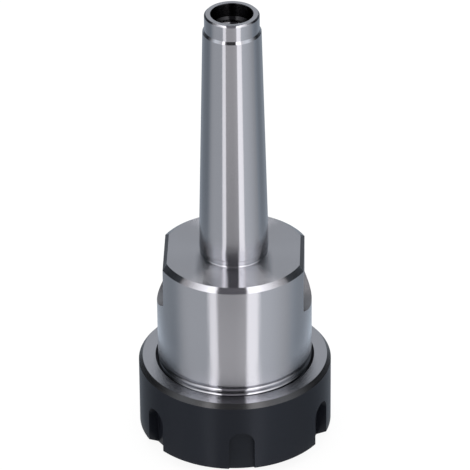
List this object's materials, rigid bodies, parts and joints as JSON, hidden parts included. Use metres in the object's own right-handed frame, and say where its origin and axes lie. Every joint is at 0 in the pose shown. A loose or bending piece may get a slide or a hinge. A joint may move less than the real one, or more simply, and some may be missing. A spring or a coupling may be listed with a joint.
{
  "type": "collet chuck holder",
  "caption": "Collet chuck holder with a taper shank, drawbar thread, spanner flats, a slit spring collet and a slotted black clamping nut that screws off the nose.",
  "frame": {"origin": "centre of the front face of the nut, on which the holder stands, with the nut tight", "axes": "+Z along the axis from the nut to the small end of the shank; X is square to the spanner flats"},
  "size_m": [0.05, 0.05, 0.123],
  "materials": {
    "ground_steel": "turned and ground steel, bright",
    "collet_steel": "ground spring steel, satin",
    "black_oxide": "black oxide, satin, with a ground rear face"
  },
  "bodies": {
    "chuck_body": {"chuck_body": "ground_steel"},
    "collet": {"collet": "collet_steel"},
    "clamping_nut": {"clamping_nut": "black_oxide"}
  },
  "joints": [
    {"name": "collet_draw", "type": "slide", "parent": "chuck_body", "child": "collet", "axis": [0, 0, 1], "range_m": [-0.0105, 0]},
    {"name": "nut_turn", "type": "hinge", "parent": "collet", "child": "clamping_nut", "pos_m": [0, 0, 0], "axis": [0, 0, 1], "range_deg": [-2520, 0]}
  ],
  "couplings": [
    {"joint": "collet_draw", "follows": "nut_turn", "m_per_rad": 0.00023873}
  ]
}
